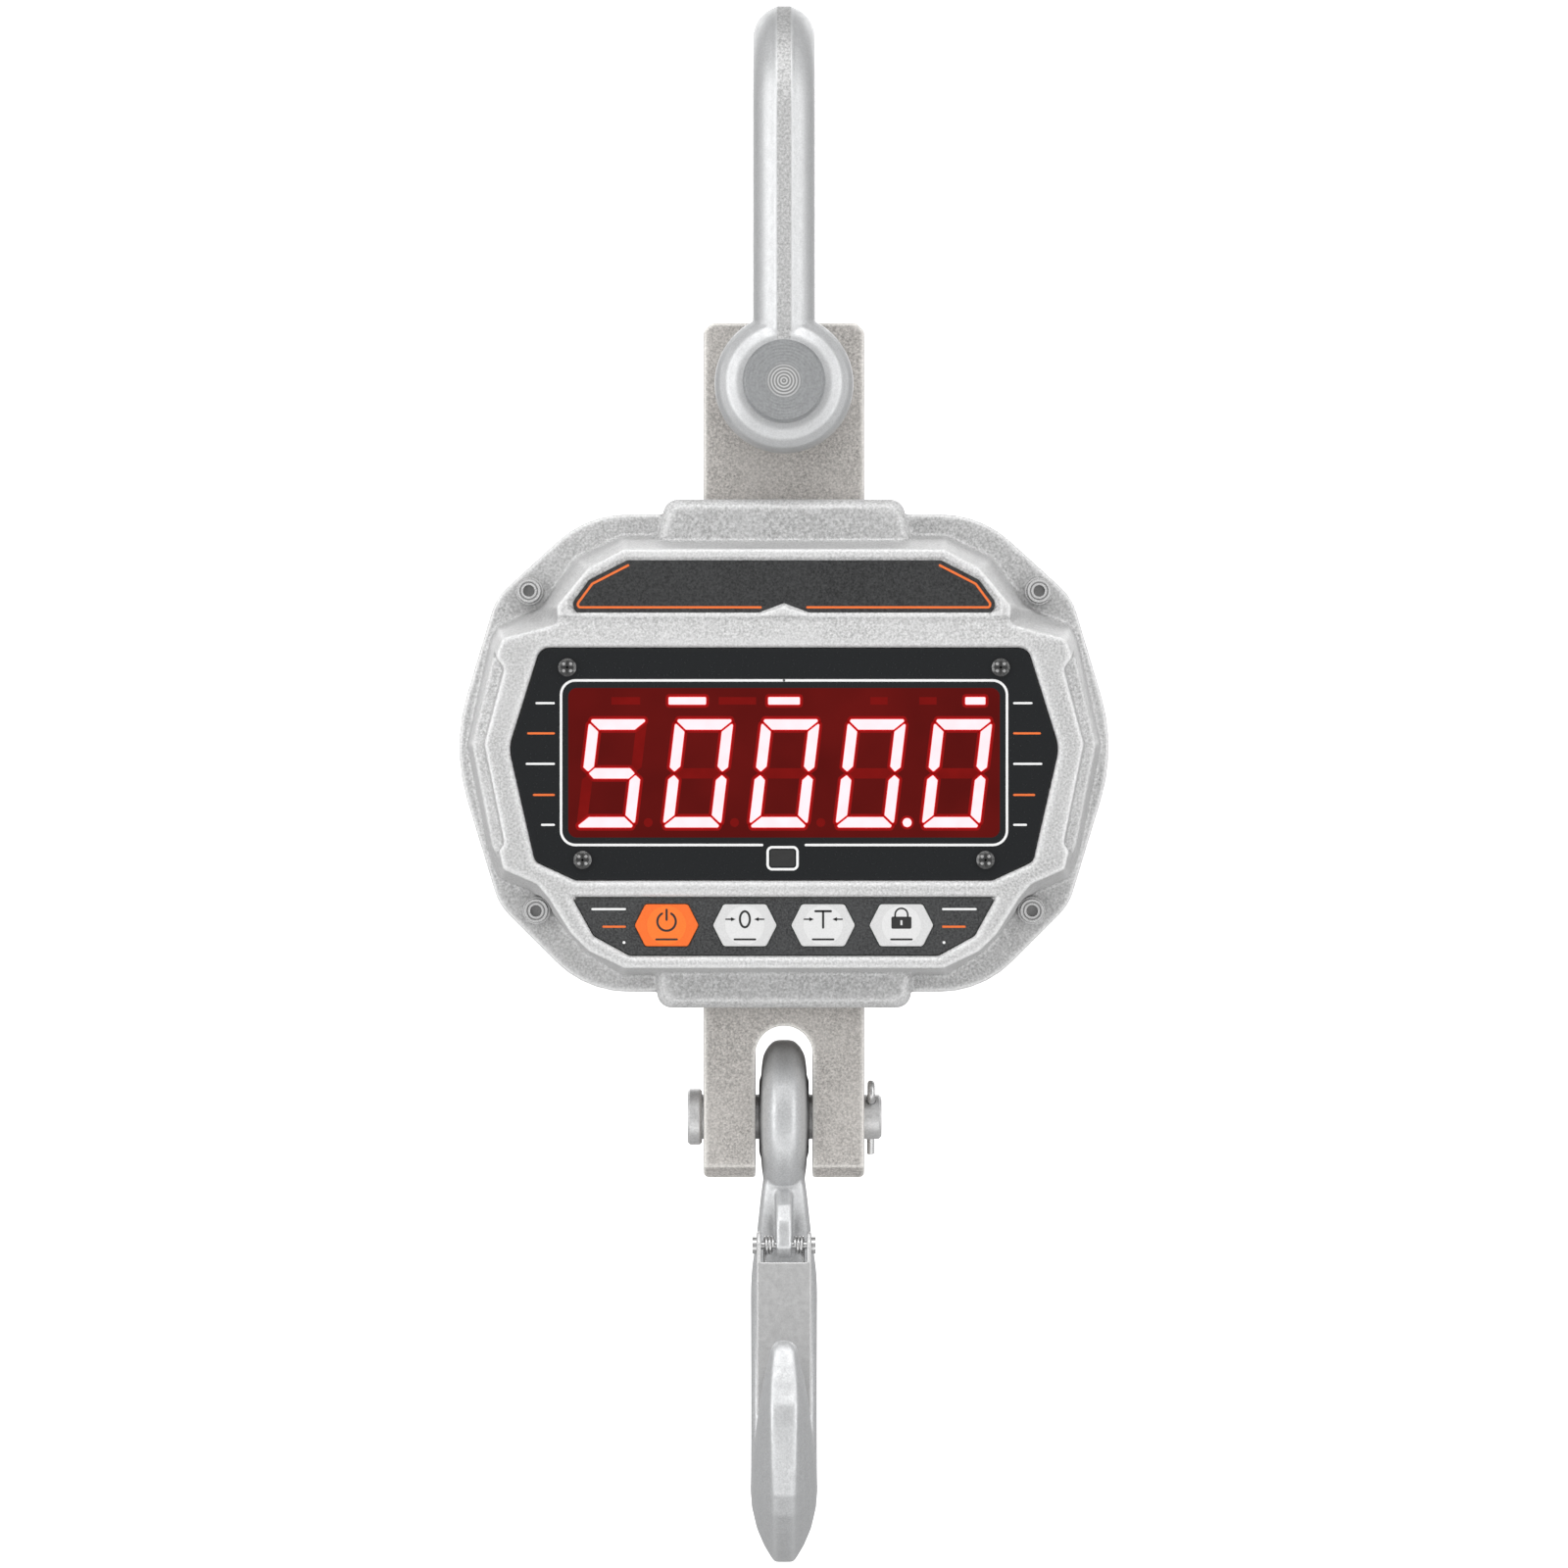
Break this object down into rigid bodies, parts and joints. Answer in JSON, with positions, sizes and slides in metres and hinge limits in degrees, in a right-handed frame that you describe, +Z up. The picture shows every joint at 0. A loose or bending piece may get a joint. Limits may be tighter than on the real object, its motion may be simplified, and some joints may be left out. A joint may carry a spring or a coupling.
{
  "type": "crane scale",
  "caption": "Hanging crane scale: shackle, load cell in a cast housing with a display and keys, and a latched eye hook.",
  "frame": {"origin": "inside of the shackle's crown, where the crane's hook carries the scale", "axes": "+Z up along the load line, +X to the right seen from the front, and the display faces -Y"},
  "size_m": [0.231, 0.1228, 0.5537],
  "materials": {
    "cast_steel": "satin, polished forging with a trimmed flash line",
    "pin_steel": "turned, zinc plated",
    "zinc_steel": "bright zinc plate",
    "nickel_cell": "bead-blasted nickel plate",
    "cast_cover": "silver textured powder coat",
    "hook_paint": "silver paint over a forged surface",
    "screw_steel": "bright machined",
    "black_screw": "black oxide",
    "rubber_black": "moulded rubber",
    "foam": "closed-cell foam",
    "window": "dark smoked acrylic with printed lines and a red display area",
    "film_dark": "fine textured charcoal film",
    "film_white": "fine textured white key",
    "film_orange": "fine textured orange key",
    "spacer": "clear spacer film",
    "led_grey": "dark red digit face, grey case",
    "board_green": "solder-masked board",
    "chip_black": "moulded packages",
    "brass": "plain",
    "foil": "polyimide film",
    "ribbon": "plain",
    "battery_case": "moulded case",
    "tray": "moulded",
    "lead": "insulated wire",
    "label_white": "blank printed film"
  },
  "bodies": {
    "shackle": {"shackle_bow": "cast_steel", "shackle_pin": "pin_steel", "shackle_pin_washer": "zinc_steel", "shackle_pin_cotter": "zinc_steel"},
    "scale": {"load_cell": "nickel_cell", "strain_gauges": "foil", "gauge_covers": "nickel_cell", "cell_cable": "lead", "cell_mount_screws": "screw_steel", "front_cover": "cast_cover", "rear_cover": "cast_cover", "cover_gasket": "rubber_black", "neck_seals": "rubber_black", "cover_screws": "screw_steel", "cover_washers": "screw_steel", "display_window": "window", "window_gasket": "foam", "window_screws": "black_screw", "digit_modules": "led_grey", "display_board": "board_green", "display_board_screws": "screw_steel", "ir_receiver": "chip_black", "board_spacers": "brass", "main_board": "board_green", "board_components": "chip_black", "ribbon_cable": "ribbon", "top_label": "film_dark", "keypad_board": "board_green", "snap_domes": "zinc_steel", "keypad_spacer": "spacer", "keypad_membrane": "film_dark", "keypad_tail": "foil", "battery": "battery_case", "battery_terminals": "screw_steel", "battery_tray": "tray", "battery_pad": "foam", "battery_lead": "lead", "battery_door": "cast_cover", "door_gasket": "foam", "door_screws": "screw_steel", "rating_label": "label_white", "charge_socket": "chip_black", "hook_pin": "pin_steel", "hook_pin_cotter": "zinc_steel"},
    "on_off_key": {"power_key": "film_orange"},
    "zero_key": {"zero_key": "film_white"},
    "tare_key": {"tare_key": "film_white"},
    "hold_key": {"hold_key": "film_white"},
    "charge_cap": {"charge_cap": "rubber_black"},
    "hook": {"hook": "hook_paint", "latch_pin": "zinc_steel", "latch_spring": "zinc_steel"},
    "latch": {"latch": "zinc_steel"}
  },
  "joints": [
    {"name": "shackle_swing", "type": "hinge", "parent": "shackle", "child": "scale", "pos_m": [0, 0, -0.1145], "axis": [0, 1, 0], "range_deg": [-105, 105]},
    {"name": "hook_swing", "type": "hinge", "parent": "scale", "child": "hook", "pos_m": [0, 0, -0.3743], "axis": [1, 0, 0], "range_deg": [-90, 90]},
    {"name": "latch_open", "type": "hinge", "parent": "hook", "child": "latch", "pos_m": [0, -0.01951, -0.41878], "axis": [1, 0, 0], "range_deg": [0, 45], "stiffness_Nm_per_rad": 0.12, "springref_deg": -68.75, "deforming": ["latch_spring"]},
    {"name": "on_off_press", "type": "slide", "parent": "scale", "child": "on_off_key", "axis": [0, 1, 0], "range_m": [0, 0.0005], "stiffness_N_per_m": 2500},
    {"name": "zero_press", "type": "slide", "parent": "scale", "child": "zero_key", "axis": [0, 1, 0], "range_m": [0, 0.0005], "stiffness_N_per_m": 2500},
    {"name": "tare_press", "type": "slide", "parent": "scale", "child": "tare_key", "axis": [0, 1, 0], "range_m": [0, 0.0005], "stiffness_N_per_m": 2500},
    {"name": "hold_press", "type": "slide", "parent": "scale", "child": "hold_key", "axis": [0, 1, 0], "range_m": [0, 0.0005], "stiffness_N_per_m": 2500},
    {"name": "charge_cap_pull", "type": "slide", "parent": "scale", "child": "charge_cap", "axis": [0, 1, 0], "range_m": [0, 0.012]}
  ]
}
